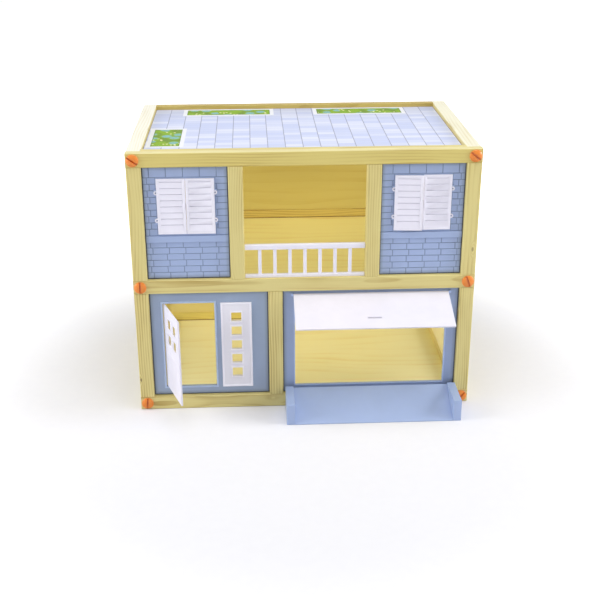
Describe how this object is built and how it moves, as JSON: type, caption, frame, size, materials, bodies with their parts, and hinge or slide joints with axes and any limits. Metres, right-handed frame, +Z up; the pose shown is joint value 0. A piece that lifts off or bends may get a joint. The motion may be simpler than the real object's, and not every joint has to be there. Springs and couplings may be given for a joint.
{
  "type": "wooden dollhouse",
  "caption": "Toy house of pine bars and plywood with upper and lower rooms open at the sides, a balcony, shuttered windows, a front door and a garage with a ramp.",
  "frame": {"origin": "middle of the front bottom rail's underside, on the surface the house stands on", "axes": "+X to the right seen from the front, along the longest extent; +Y to the back; +Z up"},
  "size_m": [0.6, 0.4546, 0.48],
  "materials": {
    "pine": "planed pale yellow pine bars under a thin clear lacquer",
    "plywood": "thin pale plywood, straight grain, clear lacquer",
    "roof_print": "printed paper of pale paving squares and planted beds, satin",
    "blue_plastic": "moulded mid blue plastic, satin",
    "ramp_plastic": "moulded light blue plastic, satin",
    "white_plastic": "moulded white plastic with a faint lavender cast, satin gloss",
    "orange_plastic": "moulded orange plastic, glossy",
    "dowel_beech": "plain beech dowel rod"
  },
  "bodies": {
    "house": {"front_bottom_rail": "pine", "front_middle_rail": "pine", "front_top_rail": "pine", "front_stile_lower_left": "pine", "front_stile_lower_right": "pine", "front_post_lower": "pine", "front_stile_upper_left": "pine", "front_stile_upper_right": "pine", "front_post_upper_left": "pine", "front_post_upper_right": "pine", "base_tray_left_bar": "pine", "base_tray_right_bar": "pine", "base_tray_front_rail": "pine", "base_tray_back_rail": "pine", "base_tray_board": "plywood", "floor_tray_left_bar": "pine", "floor_tray_right_bar": "pine", "floor_tray_front_rail": "pine", "floor_tray_back_rail": "pine", "floor_tray_board": "plywood", "roof_tray_left_bar": "pine", "roof_tray_right_bar": "pine", "roof_tray_front_rail": "pine", "roof_tray_back_rail": "pine", "roof_tray_board": "plywood", "roof_print": "roof_print", "back_post_lower_left": "pine", "back_post_lower_right": "pine", "back_post_upper_left": "pine", "back_post_upper_right": "pine", "back_panel_lower": "plywood", "back_panel_upper": "plywood", "front_screws": "orange_plastic", "frame_dowels": "dowel_beech", "back_post_dowels": "dowel_beech", "brick_panel_left": "blue_plastic", "brick_panel_right": "blue_plastic", "door_panel": "blue_plastic", "garage_panel": "blue_plastic", "sidelight": "white_plastic", "balcony_railing": "white_plastic", "garage_ramp": "ramp_plastic"},
    "door": {"door_leaf": "white_plastic"},
    "garage_door": {"garage_flap": "white_plastic"},
    "left_window_outer_shutter": {"shutter_left_outer": "white_plastic"},
    "left_window_inner_shutter": {"shutter_left_inner": "white_plastic"},
    "right_window_inner_shutter": {"shutter_right_inner": "white_plastic"},
    "right_window_outer_shutter": {"shutter_right_outer": "white_plastic"}
  },
  "joints": [
    {"name": "front_door_hinge", "type": "hinge", "parent": "house", "child": "door", "pos_m": [-0.24932, 0.0015, 0.124], "axis": [0, 0, -1], "range_deg": [-70, 35]},
    {"name": "garage_door_hinge", "type": "hinge", "parent": "house", "child": "garage_door", "pos_m": [0.1175, -0.002, 0.219], "axis": [-1, 0, 0], "range_deg": [-70, 25]},
    {"name": "left_window_outer_hinge", "type": "hinge", "parent": "house", "child": "left_window_outer_shutter", "pos_m": [-0.2539, -0.0018, 0.385], "axis": [0, 0, -1], "range_deg": [0, 150]},
    {"name": "left_window_inner_hinge", "type": "hinge", "parent": "house", "child": "left_window_inner_shutter", "pos_m": [-0.1511, -0.0018, 0.385], "axis": [0, 0, 1], "range_deg": [0, 150]},
    {"name": "right_window_inner_hinge", "type": "hinge", "parent": "house", "child": "right_window_inner_shutter", "pos_m": [0.1511, -0.0018, 0.385], "axis": [0, 0, -1], "range_deg": [-5, 145]},
    {"name": "right_window_outer_hinge", "type": "hinge", "parent": "house", "child": "right_window_outer_shutter", "pos_m": [0.2539, -0.0018, 0.385], "axis": [0, 0, 1], "range_deg": [0, 150]}
  ]
}
